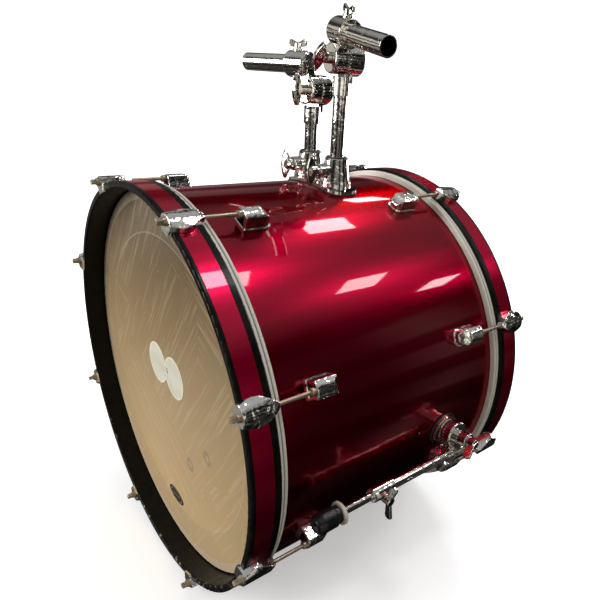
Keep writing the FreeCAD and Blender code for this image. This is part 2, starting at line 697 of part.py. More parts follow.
def tom_arm(side):
    name = SIDES[side]
    rise = DIMENSIONS[name + "_hinge_height"]
    base = HOLDER * shift(POST_X[side], 0, 0) * spin(Z_AXIS, -side * DIMENSIONS[name + "_yaw"])
    hinge = base * shift(0, 0, rise)
    tilted = hinge * spin(Y_AXIS, side * DIMENSIONS[name + "_tilt"])
    insert(side, base)
    top = -24
    foot = top - cell("post_length")
    keep(name + "_post", turned(name + "_post", [
        (8.3, foot), (9.5, foot), (post_radius, foot + 0.5), (post_radius, top), (8.3, top)], hinge))
    lower_tilter(side, hinge)
    upper_tilter(side, tilted)
    arm_tube(side, tilted)
    wing_bolt("wing_%s_receiver" % name, crescent(21, 10.5, 5.2), 4, (), (3.2, 20.7), (7.5, 13),
              HOLDER * shift(POST_X[side], -(boss_end + 0.4).value, bolt_height.value)
              * TOWARDS_BATTER * UPRIGHT)
    wing_bolt("wing_%s_tilt" % name, oval(19.5, 15.5, 5.6), 7.6, ((12, 15.5), (15, 18), (18, 15.5)),
              (4, 39.4), (7.5, 12),
              tilted * shift(0, -21.4, 0) * TOWARDS_BATTER * spin(Z_AXIS, WING_LEAN[side]))
    wing_bolt("wing_%s_clamp" % name, butterfly(17, 8.5, 9, 8), 3.6, (), (3.2, 7.4), (6, 7.5),
              tilted * shift(20 * side, -DIMENSIONS["arm_offset"], DIMENSIONS["arm_drop"] + 20.4)
              * spin(Z_AXIS, -12))


for side in SIDES:
    tom_arm(side)

# ---------------------------------------------------------------- spurs
out, down = cell("leg_stand_off"), cell("leg_drop")
leg_radius = cell("leg_radius")
rod = cell("spur_rod_radius")
swivel_radius = cell("swivel_radius")
spur_y = cell("spur_y")
SEAM = -2.4
ALONG_LEG = spin(X_AXIS, 90)


def round_foot(name, side, grow, radii):
    """Round flange or gasket under a spur, bent to the shell."""
    radius = swivel_radius + 4 + grow
    return wrapped(name, ("circle", 0, spur_y, radius), (spur_y - radius - 1, spur_y + radius + 1), radii,
                   SPUR_PLATE[side])


def spur_base(side, frame):
    """Flange on the shell with the fixed, canted half of the swivel cast on it."""
    name = SIDES[side] + "_spur_base"
    flange = round_foot(name + "_flange", side, 0, (plate_in, plate_out))
    disc = new_body(name + "_disc")
    pad(disc, "YZ_Plane", [("circle", 0, 0, swivel_radius + 1.8)], *across(side, -24, -9))
    pad(disc, "YZ_Plane", [("circle", 0, 0, swivel_radius)], *across(side, -10, SEAM))
    notch(disc, "YZ_Plane", "X_Axis", (18.4, 21), *across(side, SEAM - 1.7, SEAM))
    disc.Placement = frame
    joined = doc.addObject("Part::MultiFuse", name + "_casting")
    joined.Shapes = [flange, disc]
    core = Part.makeCylinder(DIMENSIONS["plate_inner"], 200, Vector(0, 0, 0), Y_AXIS)
    core.Placement = DRUM
    bore = Part.makeCylinder(4 + CLEAR, 30, Vector(-15, 0, 0), X_AXIS)
    bore.Placement = frame
    holes = [hole_tool(2.05, 275, 8.6, place) for place in SPUR_SCREWS[side]]
    cut_away(name, joined, [core, bore] + holes)


def spur_swivel(side, frame):
    """Moving half of the swivel, with the sleeve that grips the leg and the boss for the wing bolt."""
    name = SIDES[side] + "_spur_swivel"
    body = new_body(name)
    pad(body, "YZ_Plane", [("circle", 0, 0, swivel_radius)], *across(side, SEAM + 0.4, 9))
    soften(body, 2.5, lambda edge: abs(abs(middle(edge).x) - 9) < 0.01)
    notch(body, "YZ_Plane", "X_Axis", (18.4, 21), *across(side, SEAM + 0.4, SEAM + 2.1))
    pad(body, "YZ_Plane", [("circle", 0, 0, 10.5)], *across(side, 8, 28))
    soften(body, 1.0, lambda edge: abs(abs(middle(edge).x) - 28) < 0.01)
    pad(body, "YZ_Plane", [[(-15, -down), (15, -down), (11, -6), (-11, -6)]], *across(side, 0, 15))
    pad(body, "XZ_Plane", [("circle", out * side, -down, 10.5)], -20, 21)
    soften(body, 1.5, lambda edge: abs(middle(edge).y - 21) < 0.01)
    pad(body, "XZ_Plane", [("circle", out * side, -down, 11.6)], -23, -20)
    pocket(body, "XZ_Plane", [("circle", out * side, -down, leg_radius + CLEAR)], -24, 22)
    pocket(body, "YZ_Plane", [("circle", 0, 0, 4 + CLEAR)], *across(side, -3, 29))
    body.Placement = frame
    keep(name, body)


def spur_leg(side, frame):
    """Outer tube, its clamp collar, the sliding rod, lock ring and rubber foot, all along the leg."""
    name = SIDES[side]
    leg = frame * shift(side * out.value, 0, -down.value) * ALONG_LEG
    tube_body = ring(name + "_spur_tube", rod + CLEAR, leg_radius, -21.5, 164, leg)
    pocket(tube_body, "YZ_Plane", [box(-1.1, 1.1, 96, 108)], *across(side, 3, 8))
    keep(name + "_spur_tube", tube_body)
    collar = turned(name + "_spur_collar", [
        (leg_radius + CLEAR, 130), (9, 130), (9.6, 130.6), (9.6, 164.4), (8.8, 166.5), (rod + 0.4, 166.5),
        (rod + 0.4, 164.5), (leg_radius + CLEAR, 164.5)])
    pad(collar, "YZ_Plane", [("circle", 0, 152, 6.5)], *across(side, 8, 13))
    pocket(collar, "YZ_Plane", [("circle", 0, 152, 3 + CLEAR)], *across(side, 5, 14))
    collar.Placement = leg * spin(Z_AXIS, -side * 14)
    keep(name + "_spur_collar", collar)
    keep(name + "_spur_rod", turned(name + "_spur_rod", [(0, 44), (rod, 44), (rod, 246), (0, 246)], leg))
    keep(name + "_spur_lock_ring", turned(name + "_spur_lock_ring", [
        (rod + CLEAR, 214), (13.6, 214), (14.4, 214.8), (14.4, 218), (13.6, 218.8), (rod + CLEAR, 218.8)], leg))
    foot = turned(name + "_spur_foot", [
        (rod + CLEAR, 219), (11, 219), (11.2, 225), (12.6, 227), (12.8, 244), (11.6, 250),
        (8, 254, -10), (0, 255), (0, 246 + CLEAR), (rod + CLEAR, 246 + CLEAR)], leg)
    keep(name + "_spur_foot", foot)
    bolt = collar.Placement * shift(side * 13.4, 0, 152) * spin(Y_AXIS, side * 90)
    wing_bolt("wing_%s_spur_length" % name, butterfly(23, 9, 11, 9), 3.8, (), (3, 6.4), (6.2, 9),
              bolt * spin(Z_AXIS, 90))


def spur(side):
    place = DRUM * shift(side * DIMENSIONS["spur_x"], DIMENSIONS["spur_y"], DIMENSIONS["spur_z"])
    frame = place * spin(Y_AXIS, -side * DIMENSIONS["spur_cant"])
    spur_base(side, frame)
    spur_swivel(side, frame)
    spur_leg(side, frame)
    wing_bolt("wing_%s_spur_swivel" % SIDES[side], butterfly(24, 13, 13, 14), 4.4, (), (4, 42), (7.2, 12),
              frame * shift(side * 28.4, 0, 0) * spin(Y_AXIS, side * 90) * spin(Z_AXIS, 108))


gaskets = []
for side in SIDES:
    spur(side)
    gasket = round_foot(SIDES[side] + "_gasket_blank", side, 1.5, GASKET)
    doc.recompute()
    holes = [hole_tool(2.4, 275, 8.6, place) for place in SPUR_SCREWS[side]]
    gaskets.append(gasket.Shape.cut(Part.makeCompound(holes)))
group("spur_gaskets", gaskets)

# ---------------------------------------------------------------- checks and export
doc.recompute()
for obj in doc.Objects:
    if "Invalid" in obj.State or "Error" in obj.State:
        raise RuntimeError("%s is in state %s" % (obj.Label, obj.State))

os.makedirs("parts", exist_ok=True)
for label, obj in nodes.items():
    if obj.Shape.isNull() or not obj.Shape.isValid() or not obj.Shape.Solids:
        raise RuntimeError("%s has no valid solid" % label)
    obj.Shape.exportStep("parts/%s.step" % label)
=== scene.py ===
import json
import math

import bpy
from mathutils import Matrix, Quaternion, Vector


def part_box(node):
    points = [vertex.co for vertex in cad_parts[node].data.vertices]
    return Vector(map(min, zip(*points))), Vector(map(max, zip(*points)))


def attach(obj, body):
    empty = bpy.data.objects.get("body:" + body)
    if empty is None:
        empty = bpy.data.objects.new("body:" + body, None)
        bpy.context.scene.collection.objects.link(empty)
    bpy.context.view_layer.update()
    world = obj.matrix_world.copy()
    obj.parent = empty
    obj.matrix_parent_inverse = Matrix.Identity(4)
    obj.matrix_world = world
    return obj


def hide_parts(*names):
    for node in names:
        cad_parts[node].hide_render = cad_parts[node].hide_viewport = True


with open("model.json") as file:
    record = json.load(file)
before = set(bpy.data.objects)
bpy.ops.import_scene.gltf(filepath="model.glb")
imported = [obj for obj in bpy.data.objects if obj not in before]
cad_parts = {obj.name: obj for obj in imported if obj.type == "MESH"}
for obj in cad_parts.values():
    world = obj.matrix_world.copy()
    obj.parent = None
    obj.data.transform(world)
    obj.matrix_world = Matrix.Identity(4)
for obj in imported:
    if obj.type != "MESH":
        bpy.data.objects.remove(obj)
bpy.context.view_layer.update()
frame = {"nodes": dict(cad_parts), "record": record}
NODES = frame["nodes"]


def micron(value):
    """A size in metres to the nearest micron, free of the rounding in a mesh's coordinates."""
    return round(value, 6)


# Driving sizes of the drum, in metres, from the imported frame.
HOOP_LOW, HOOP_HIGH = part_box("batter_hoop")
AXIS_HEIGHT = micron((HOOP_LOW[2] + HOOP_HIGH[2]) / 2)
HOOP_FACE = micron(-HOOP_LOW[1])
SHELL_RADIUS = micron(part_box("shell")[1][0])

# Angle from one tension station to the next, and how far the claws swell, as a share of their width.
SECTOR = math.radians(45)
CLAW_SWELL = 0.38

# Places along the drum's axis from its middle, in metres.
CLAW_INNER = 0.1929
CLAW_OUTER = 0.2382
HOOP_SEAM = 0.1904

# Distances out from the drum's axis, or an arm's. Between the two of a pair, one look gives way to another.
WOOD_EDGE = (SHELL_RADIUS - 0.0028, SHELL_RADIUS - 0.0026)
RING_EDGE = 0.2222
FILM_RIM = (0.2655, 0.2680)
TUBE_BORE = (0.0112, 0.0114)

# The washers' places across and below the axis, and the fading edges of their rims and holes.
WASHERS = ((0.0605, 0.106), (0.118, 0.057))
WASHER_DISC = (0.0105, 0.0125)
WASHER_HOLE = (0.0035, 0.005)

# The middle of the dark scuffs over the pad, and of the rubbed strokes on it: across and above the axis.
SCUFF_MIDDLE = (0.020, 0.062)
RUB_MIDDLE = (-0.0095, 0.021)

# The kick pad's two discs: their centres across, their height over the axis, and their pale edge.
PAD_DISCS = (-0.0385, 0.0195)
PAD_RISE = 0.0195
PAD_EDGE = (0.0285, 0.0300)


# ---------------------------------------------------------------- node helpers
class Nodes:
    """A node tree under construction, with short calls for the nodes that the script needs."""

    def __init__(self, tree):
        self.tree = tree

    def add(self, kind, **settings):
        node = self.tree.nodes.new(kind)
        for key, value in settings.items():
            setattr(node, key, value)
        return node

    def feed(self, socket, source):
        """Links an output to an input, or sets the input when given a number or colour."""
        if isinstance(source, bpy.types.NodeSocket):
            self.tree.links.new(source, socket)
        elif isinstance(source, (tuple, list)) and len(source) == 3 and socket.type == "RGBA":
            socket.default_value = (*source, 1.0)
        else:
            socket.default_value = source

    def math(self, operation, first, second=0.0):
        node = self.add("ShaderNodeMath", operation=operation)
        self.feed(node.inputs[0], first)
        self.feed(node.inputs[1], second)
        return node.outputs[0]

    def plus(self, first, second):
        return self.math("ADD", first, second)

    def minus(self, first, second):
        return self.math("SUBTRACT", first, second)

    def times(self, first, second):
        return self.math("MULTIPLY", first, second)

    def distance(self, across, up):
        """Length of the hypotenuse over two sides."""
        return self.math("SQRT", self.plus(self.times(across, across), self.times(up, up)))

    def ramp(self, source, low, high, to_low=0.0, to_high=1.0):
        node = self.add("ShaderNodeMapRange", clamp=True)
        for socket, value in zip(node.inputs, (source, low, high, to_low, to_high)):
            self.feed(socket, value)
        return node.outputs[0]

    def near(self, value, centre, inner, outer):
        """1 up to the inner distance from a centre, and falling to 0 at the outer one."""
        return self.ramp(self.math("ABSOLUTE", self.minus(value, centre)), inner, outer, 1, 0)

    def blend(self, amount, first, second, how="MIX"):
        node = self.add("ShaderNodeMix", data_type="RGBA", blend_type=how)
        self.feed(node.inputs["Factor"], amount)
        self.feed(node.inputs[6], first)
        self.feed(node.inputs[7], second)
        return node.outputs[2]

    def split(self, vector):
        node = self.add("ShaderNodeSeparateXYZ")
        self.feed(node.inputs[0], vector)
        return node.outputs


class Look(Nodes):
    """A Principled material under construction. Its patterns lie in the object's own coordinates."""

    def __init__(self, name, **sockets):
        self.material = bpy.data.materials.new(name)
        self.material.use_nodes = True
        super().__init__(self.material.node_tree)
        self.shader = self.tree.nodes["Principled BSDF"]
        self.place = self.add("ShaderNodeTexCoord").outputs["Object"]
        self.base = None
        for socket, value in sockets.items():
            self.set(socket.replace("_", " "), value)

    def set(self, name, source):
        self.feed(self.shader.inputs[name], source)

    def paint(self, source):
        """Sets the base colour, and keeps it so that a later mark can be laid over it."""
        self.base = source
        self.set("Base Color", source)

    def stretch(self, x, y, z, turn=(0, 0, 0)):
        """The object's own coordinates turned first, then made finer or coarser along each new axis."""
        node = self.add("ShaderNodeMapping", vector_type="TEXTURE")
        self.feed(node.inputs["Vector"], self.place)
        node.inputs["Scale"].default_value = (1 / x, 1 / y, 1 / z)
        node.inputs["Rotation"].default_value = turn
        return node.outputs[0]

    def scaled(self, where, scale):
        node = self.add("ShaderNodeMapping")
        self.feed(node.inputs["Vector"], where)
        node.inputs["Scale"].default_value = scale
        return node.outputs[0]

    def noise(self, scale, detail, where=None, roughness=0.5, distortion=0.0):
        node = self.add("ShaderNodeTexNoise")
        self.feed(node.inputs["Vector"], where or self.place)
        node.inputs["Scale"].default_value = scale
        node.inputs["Detail"].default_value = detail
        node.inputs["Roughness"].default_value = roughness
        node.inputs["Distortion"].default_value = distortion
        return node.outputs["Fac"]

    def cells(self, scale):
        node = self.add("ShaderNodeTexVoronoi")
        self.feed(node.inputs["Vector"], self.place)
        node.inputs["Scale"].default_value = scale
        return node.outputs["Distance"]

    def axes(self):
        return self.split(self.place)

    def drum_place(self):
        """Radius from the drum's axis, angle round it, and place along it."""
        x, y, z = self.axes()
        height = self.minus(z, AXIS_HEIGHT)
        return self.distance(x, height), self.math("ARCTAN2", x, height), y

    def bump(self, height, strength, distance):
        node = self.add("ShaderNodeBump")
        node.inputs["Strength"].default_value = strength
        node.inputs["Distance"].default_value = distance
        self.feed(node.inputs["Height"], height)
        self.set("Normal", node.outputs[0])


# ---------------------------------------------------------------- wood, lacquer and film
def lacquer(name, wood_inside, low, high):
    """Candy lacquer: a deep metallic red under a clear coat, over maple that shows inside the shell. Where
    there is no maple, as on the inlay, painted shade darkens the red towards the bottom.
    """
    look = Look(name, IOR=1.5, Coat_Weight=0.5, Coat_Roughness=0.03, Specular_Tint=(1.0, 0.25, 0.4, 1.0))
    radius, angle, along = look.drum_place()
    join = look.add("ShaderNodeCombineXYZ")
    look.feed(join.inputs[0], look.times(angle, SHELL_RADIUS))
    look.feed(join.inputs[1], along)
    unrolled = join.outputs[0]
    grain = look.noise(9, 6, look.scaled(unrolled, (9, 1.2, 1)), 0.6, 0.4)
    haze = look.noise(5, 3)
    red = look.blend(look.ramp(grain, 0.35, 0.7), low, high)
    red = look.blend(look.ramp(haze, 0.4, 0.75, 0, 0.3), red, (0.17, 0.0, 0.010))
    speck = look.ramp(look.cells(420), 0.05, 0.09, 1, 0)
    wear = look.times(speck, look.ramp(look.noise(14, 2), 0.62, 0.75))
    red = look.blend(look.times(wear, 0.3), red, (0.75, 0.6, 0.6))
    rough = look.ramp(haze, 0.3, 0.7, 0.24, 0.30)
    scratch = look.ramp(look.noise(16, 3, look.stretch(30, 2.2, 18, (0.5, 0.2, 0.6))), 0.70, 0.76)
    look.bump(look.plus(look.times(haze, 0.6), look.times(scratch, 0.05)), 0.045, 0.004)
    if wood_inside:
        inside = look.ramp(radius, *WOOD_EDGE, 1, 0)
        ply = look.noise(7, 8, look.scaled(unrolled, (2.0, 26, 1)), 0.62, 0.5)
        maple = look.blend(look.ramp(ply, 0.3, 0.72), (0.66, 0.46, 0.25), (0.86, 0.68, 0.43))
        red = look.blend(inside, red, maple)
        rough = look.ramp(inside, 0, 1, rough, 0.5)
        look.set("Metallic", look.ramp(inside, 0, 1, 1.0, 0.0))
    else:
        look.set("Metallic", 0.8)
        # Painted shade: the red grows darker towards the bottom, where less light falls.
        painted_shade_low = look.ramp(look.axes()[2], 0.40, 0.10, 0, 0.75)
        red = look.blend(painted_shade_low, red, (0.07, 0.002, 0.006))
    look.paint(red)
    look.set("Roughness", rough)
    return look.material


def black_lacquer():
    """Black hoop lacquer with handling wear, chipped to the wood at the hoop's lower edge."""
    look = Look("hoop_black", IOR=1.3, Specular_IOR_Level=0.25, Coat_Weight=0.05, Coat_Roughness=0.12)
    _, y, z = look.axes()
    dust = look.noise(60, 6)
    low = look.ramp(z, 0.16, 0.02)
    edge = look.ramp(look.math("ABSOLUTE", y), HOOP_FACE - 0.004, HOOP_FACE - 0.001)
    chips = look.ramp(look.noise(95, 5), 0.60, 0.63)
    chips = look.times(chips, look.times(low, edge))
    colour = look.blend(look.ramp(dust, 0.35, 0.75), (0.003, 0.003, 0.002), (0.008, 0.007, 0.006))
    scuff = look.ramp(look.noise(38, 7, look.stretch(1, 1, 1, (0.3, 0.5, 0.2)), 0.7), 0.62, 0.72)
    colour = look.blend(look.times(scuff, 0.2), colour, (0.07, 0.065, 0.055))
    look.paint(look.blend(chips, colour, (0.35, 0.27, 0.17)))
    look.set("Roughness", look.ramp(dust, 0.3, 0.7, 0.22, 0.42))
    look.bump(look.minus(look.times(dust, 0.2), chips), 0.25, 0.0006)
    return look.material


def crossing_sheen_lines(look):
    """Fine lines that run one way or the other, by patches: the pattern of the painted reflection streaks
    on the film.
    """
    one = look.noise(26, 3, look.stretch(0.35, 1, 8, (0, 0.42, 0)))
    two = look.noise(26, 3, look.stretch(0.35, 1, 8, (0, -0.95, 0)))
    patches = look.add("ShaderNodeTexVoronoi", distance="MANHATTAN")
    look.feed(patches.inputs["Vector"], look.stretch(1, 1, 1, (0, 0.78, 0)))
    patches.inputs["Scale"].default_value = 11
    choose = look.ramp(look.split(patches.outputs["Color"])[0], 0.49, 0.51)
    return look.plus(look.times(one, choose), look.times(two, look.minus(1.0, choose)))


def washer_marks(look, x, z, haze):
    """Two pale washers that show dimly through the film, drawn as marks in it."""
    for across, below in WASHERS:
        reach = look.distance(look.minus(x, across), look.minus(z, AXIS_HEIGHT - below))
        disc = look.ramp(reach, *WASHER_DISC, 1, 0)
        washer = look.times(disc, look.ramp(reach, *WASHER_HOLE))
        haze = look.blend(look.times(washer, 0.5), haze, (0.30, 0.27, 0.22))
    return haze


def clear_film():
    """Worn clear drum film, hazed until little shows through, with painted shade and light: darker towards
    the top and a brighter tan towards the bottom. Painted reflection streaks cross it in patches.
    """
    look = Look("head_film", IOR=1.4, Coat_Weight=0.15, Coat_Roughness=0.06)
    x, _, z = look.axes()
    radius = look.drum_place()[0]
    sweep = look.noise(2.2, 2)
    sheen_streaks = look.ramp(crossing_sheen_lines(look), 0.52, 0.66)
    rim = look.ramp(radius, *FILM_RIM)
    # Painted shade and light: a dark tan at the top, brightening to a warm tan towards the bottom, as the
    # light falls into the shell.
    haze = look.blend(look.ramp(z, 0.52, 0.10), (0.200, 0.136, 0.076), (0.91, 0.65, 0.34))
    haze = look.blend(look.ramp(sweep, 0.35, 0.7, 0, 0.25), haze, (0.40, 0.30, 0.19))
    # Painted reflection: paler tan along the streaks.
    haze = look.blend(look.times(sheen_streaks, 0.20), haze, (0.92, 0.73, 0.46))
    haze = look.blend(look.times(rim, 0.5), haze, (0.66, 0.58, 0.44))
    band = look.ramp(radius, RING_EDGE - 0.0004, RING_EDGE + 0.0002)
    haze = look.blend(look.times(band, 0.16), haze, (0.36, 0.30, 0.22))
    line = look.near(radius, RING_EDGE, 0.0004, 0.0014)
    haze = look.blend(look.times(line, 0.35), haze, (0.80, 0.70, 0.52))
    haze = washer_marks(look, x, z, haze)
    specks = look.ramp(look.cells(75), 0.035, 0.05, 1, 0)
    specks = look.times(specks, look.ramp(look.noise(9, 2), 0.55, 0.62))
    haze = look.blend(specks, haze, (0.97, 0.93, 0.84))
    beside = look.near(x, SCUFF_MIDDLE[0], 0.018, 0.04)
    above = look.near(z, AXIS_HEIGHT + SCUFF_MIDDLE[1], 0.012, 0.03)
    dots = look.ramp(look.cells(170), 0.10, 0.16, 1, 0)
    scuffs = look.times(dots, look.times(beside, above))
    look.paint(look.blend(look.times(scuffs, 0.8), haze, (0.10, 0.08, 0.06)))
    opacity = look.plus(0.76, look.times(sheen_streaks, 0.05))
    opacity = look.plus(opacity, look.times(rim, 0.14))
    look.set("Alpha", look.plus(opacity, look.times(specks, 0.3)))
    look.set("Roughness", look.ramp(sweep, 0.3, 0.7, 0.24, 0.38))
    look.bump(look.noise(3, 2), 0.08, 0.01)
    return look.material


def white_film():
    """White coated film with faint mottling and a fine grain."""
    look = Look("head_white", IOR=1.5, Coat_Weight=0.4, Coat_Roughness=0.12)
    mottle = look.noise(26, 5)
    look.paint(look.blend(look.ramp(mottle, 0.3, 0.7), (0.74, 0.73, 0.70), (0.84, 0.83, 0.81)))
    look.set("Roughness", look.ramp(mottle, 0.3, 0.7, 0.3, 0.42))
    look.bump(look.noise(420, 2), 0.1, 0.0002)
    return look.material


# ---------------------------------------------------------------- metal, rubber and plastic
def metal(name, colour, tint, rough, pits, metallic=1.0, ripple=0.1):
    """Plated metal with cloudy roughness, fine pitting, slight ripples and a warmer tarnish in places."""
    look = Look(name, Metallic=metallic)
    cloud = look.noise(34, 5)
    tarnish = look.ramp(look.noise(85, 6, None, 0.65), 0.52, 0.72)
    pit = look.ramp(look.cells(900), 0.10, 0.22, 1, 0)
    pit = look.times(pit, look.ramp(look.noise(120, 3), 0.5, 0.62))
    base = look.blend(look.times(tarnish, pits), colour, tint)
    look.paint(look.blend(look.times(pit, pits), base, (0.12, 0.10, 0.08)))
    look.set("Roughness", look.ramp(cloud, 0.3, 0.7, rough * 0.7, rough * 1.5))
    waves = look.times(look.noise(75, 2, None, 0.5, 0.6), ripple * 2)
    look.bump(look.plus(waves, look.times(look.minus(cloud, pit), 0.1)), 0.5, 0.0018)
    return look


def seamed_metal(*settings):
    """Metal of the flesh hoops, with the dark line of their rolled seam."""
    look = metal(*settings)
    seam = look.near(look.math("ABSOLUTE", look.axes()[1]), HOOP_SEAM, 0.0003, 0.0009)
    look.paint(look.blend(look.times(seam, 0.85), look.base, (0.05, 0.045, 0.04)))
    return look.material


def tube_metal(name, mount):
    """Chrome outside and a dark, dull wall inside a tom arm, painted as the shade deep in the tube, told
    apart by the distance from the arm's axis.
    """
    look = metal(name, *PLATE)
    local = look.add("ShaderNodeVectorMath", operation="SUBTRACT")
    look.feed(local.inputs[0], look.place)
    local.inputs[1].default_value = mount["pos_m"]
    cross = look.add("ShaderNodeVectorMath", operation="CROSS_PRODUCT")
    look.feed(cross.inputs[0], local.outputs[0])
    cross.inputs[1].default_value = mount["axis"]
    length = look.add("ShaderNodeVectorMath", operation="LENGTH")
    look.feed(length.inputs[0], cross.outputs[0])
    inside = look.ramp(length.outputs["Value"], *TUBE_BORE, 1, 0)
    # Painted shade: the bore is painted near black and dull, for the shade deep inside the tube.
    look.paint(look.blend(inside, look.base, (0.012, 0.011, 0.010)))
    look.set("Metallic", look.ramp(inside, 0, 1, 1.0, 0.0))
    look.set("Specular IOR Level", 0.3)
    return look.material


def rubber(name, colour, rough):
    """Dark rubber with a fine grain and a pale dust in places."""
    look = Look(name, IOR=1.5)
    grain = look.noise(260, 4)
    dust = look.ramp(look.noise(48, 4), 0.5, 0.75, 0, 0.25)
    dusty = tuple(channel * 3 + 0.02 for channel in colour)
    look.paint(look.blend(dust, colour, dusty))
    look.set("Roughness", look.ramp(grain, 0.3, 0.7, rough - 0.07, rough + 0.07))
    look.bump(grain, 0.12, 0.0004)
    return look.material


def plastic(name, colour, stain, rough):
    """Moulded plastic, stained in blotches."""
    look = Look(name, IOR=1.46)
    blotch = look.noise(70, 5)
    look.paint(look.blend(look.ramp(blotch, 0.4, 0.72, 0, 0.7), colour, stain))
    look.set("Roughness", look.ramp(blotch, 0.3, 0.7, rough - 0.06, rough + 0.08))
    look.bump(look.noise(500, 2), 0.08, 0.0003)
    return look.material


# ---------------------------------------------------------------- label and kick pad
def badge_material(node):
    """Small dark label with a plain pale ring and bar inside its edge."""
    look = Look("badge_dark", IOR=1.46)
    corners = [Vector(corner) for corner in node.bound_box]
    low, high = corners[0], corners[6]
    middle, half = (low + high) / 2, (high - low) / 2
    x, _, z = look.axes()
    across = look.math("DIVIDE", look.minus(x, middle.x), half.x)
    up = look.math("DIVIDE", look.minus(z, middle.z), half.z)
    ring = look.near(look.distance(across, up), 0.76, 0.03, 0.07)
    bar = look.times(look.near(up, 0.0, 0.06, 0.12), look.near(across, 0.0, 0.40, 0.46))
    blotch = look.noise(300, 4)
    mark = look.times(look.math("MAXIMUM", ring, bar), look.ramp(blotch, 0.3, 0.6, 0.3, 0.75))
    look.paint(look.blend(mark, (0.016, 0.014, 0.012), (0.55, 0.48, 0.34)))
    look.set("Roughness", look.ramp(blotch, 0.3, 0.7, 0.3, 0.42))
    return look.material


def pad_material():
    """Pale felt-faced pad with dark rubbed strokes where its two discs meet."""
    look = Look("kick_pad", IOR=1.45)
    fibre = look.noise(380, 6)
    base = look.blend(look.ramp(look.noise(40, 4), 0.4, 0.7), (0.76, 0.735, 0.62), (0.67, 0.645, 0.53))
    x, _, z = look.axes()
    side = look.near(x, RUB_MIDDLE[0], 0.006, 0.011)
    tall = look.near(z, AXIS_HEIGHT + RUB_MIDDLE[1], 0.008, 0.016)
    rub = look.noise(150, 4, look.stretch(1, 1, 0.45, (0, 0.4, 0)), 0.6, 1.5)
    stroke = look.times(look.ramp(rub, 0.56, 0.60), look.times(side, tall))
    height = look.minus(z, AXIS_HEIGHT + PAD_RISE)
    first, second = [look.distance(look.minus(x, centre), height) for centre in PAD_DISCS]
    edge = look.ramp(look.math("MINIMUM", first, second), *PAD_EDGE)
    base = look.blend(edge, base, (0.88, 0.81, 0.60))
    look.paint(look.blend(stroke, base, (0.05, 0.05, 0.05)))
    look.set("Roughness", look.ramp(fibre, 0.3, 0.7, 0.6, 0.8))
    look.bump(fibre, 0.2, 0.0003)
    return look.material


# ---------------------------------------------------------------- looks of the CAD pieces
# Colour, tarnish, roughness, pitting, metallic and ripple of the bright chrome plate.
PLATE = ((0.72, 0.70, 0.66), (0.46, 0.42, 0.35), 0.06, 0.35, 1.0, 0.24)
CAST = metal("chrome_cast", (0.86, 0.85, 0.82), (0.55, 0.51, 0.43), 0.10, 0.35, 1.0, 0.55).material

LOOKS = {
    "wine_lacquer": lacquer("shell_lacquer", True, (0.25, 0.0, 0.016), (0.31, 0.0, 0.021)),
    "red_inlay": lacquer("inlay_lacquer", False, (0.50, 0.0, 0.036), (0.60, 0.0, 0.046)),
    "black_lacquer": black_lacquer(),
    "clear_film": clear_film(),
    "white_film": white_film(),
    "kick_pad": pad_material(),
    "badge": badge_material(NODES["head_badge"]),
    "chrome": metal("chrome_plate", *PLATE).material,
    "bronze_steel": metal("bronze_plate", (0.52, 0.43, 0.31), (0.30, 0.23, 0.15), 0.36, 0.8, 0.85).material,
    "screw_steel": metal("screw_steel", (0.55, 0.54, 0.52), (0.36, 0.32, 0.27), 0.3, 0.6).material,
    "flesh_hoop": seamed_metal("flesh_hoop_alloy", (0.98, 0.95, 0.85), (0.76, 0.71, 0.58), 0.40, 0.4, 0.0),
    "foot_rubber": rubber("foot_rubber", (0.008, 0.008, 0.009), 0.26),
    "gasket_rubber": rubber("gasket_rubber", (0.02, 0.02, 0.02), 0.6),
    "bush_nylon": plastic("bush_nylon", (0.03, 0.03, 0.03), (0.07, 0.07, 0.065), 0.45),
    "white_nylon": plastic("white_nylon", (0.82, 0.78, 0.66), (0.66, 0.58, 0.42), 0.42),
}
for part in frame["record"]["subparts"]:
    for slot in NODES[part["node"]].material_slots:
        slot.material = LOOKS[part["material_slot"]]


def fuller_claws():
    """The sixteen claws, widened about their middle into the rounded shape of the real castings."""
    mesh = NODES["claw_hooks"].data.copy()
    for vertex in mesh.vertices:
        x, y, z = vertex.co
        radius = math.hypot(x, z - AXIS_HEIGHT)
        angle = math.atan2(x, z - AXIS_HEIGHT)
        station = (math.floor(angle / SECTOR) + 0.5) * SECTOR
        along = (abs(y) - CLAW_INNER) / (CLAW_OUTER - CLAW_INNER)
        swell = 1 + CLAW_SWELL * math.sin(math.pi * min(max(along, 0), 1))
        angle = station + (angle - station) * swell
        vertex.co = (radius * math.sin(angle), y, AXIS_HEIGHT + radius * math.cos(angle))
    claws = bpy.data.objects.new("claw_covers", mesh)
    bpy.context.scene.collection.objects.link(claws)
    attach(claws, "drum")
    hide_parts("claw_hooks")
    return claws


for piece in (fuller_claws(), NODES["lugs"]):
    for slot in piece.material_slots:
        slot.material = CAST
for mount in frame["record"]["mounts"]:
    side = mount["name"].split("_")[0]
    for slot in NODES[side + "_arm_tube"].material_slots:
        slot.material = tube_metal("chrome_tube_" + side, mount)


# ---------------------------------------------------------------- stage, camera and light
FLOOR_HALF = 60.0
